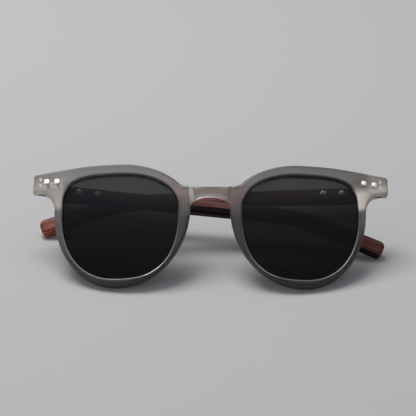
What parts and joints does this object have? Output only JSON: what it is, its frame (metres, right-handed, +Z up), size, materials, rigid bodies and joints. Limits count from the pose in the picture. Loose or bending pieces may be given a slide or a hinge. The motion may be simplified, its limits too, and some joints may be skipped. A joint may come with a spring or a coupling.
{
  "type": "sunglasses",
  "caption": "Folding sunglasses with a translucent grey moulded front, dark tinted lenses and wooden temples on screwed barrel hinges, resting folded.",
  "frame": {"origin": "on the floor under the middle of the folded, resting pair", "axes": "+X towards the wearer's left across the front, +Y away from the viewer behind the front, +Z up"},
  "size_m": [0.146, 0.0579, 0.0382],
  "materials": {
    "frame_plastic": "translucent smoke grey, satin",
    "lens_tint": "dark grey tint, polished",
    "temple_wood": "red-brown, straight grain, oiled",
    "hinge_metal": "plain steel",
    "rivet_metal": "polished"
  },
  "bodies": {
    "front": {"front_frame": "frame_plastic", "left_lens": "lens_tint", "right_lens": "lens_tint", "left_front_hinge_leaf": "hinge_metal", "right_front_hinge_leaf": "hinge_metal", "left_hinge_screw": "hinge_metal", "right_hinge_screw": "hinge_metal", "left_front_rivets": "rivet_metal", "right_front_rivets": "rivet_metal"},
    "left_temple": {"left_temple_hinge_leaf": "hinge_metal", "left_temple": "temple_wood", "left_temple_screws": "hinge_metal"},
    "right_temple": {"right_temple_hinge_leaf": "hinge_metal", "right_temple": "temple_wood", "right_temple_screws": "hinge_metal"}
  },
  "joints": [
    {"name": "left_temple_hinge", "type": "hinge", "parent": "front", "child": "left_temple", "pos_m": [0.063, 0.01251, 0.02563], "axis": [-0.0541, -0.8073, -0.5876], "range_deg": [0, 84]},
    {"name": "right_temple_hinge", "type": "hinge", "parent": "front", "child": "right_temple", "pos_m": [-0.063, 0.01251, 0.02563], "axis": [0.0541, 0.8073, 0.5876], "range_deg": [0, 86.6]}
  ],
  "couplings": [
    {"joint": "right_temple_hinge", "follows": "left_temple_hinge", "ratio": 1.03}
  ]
}
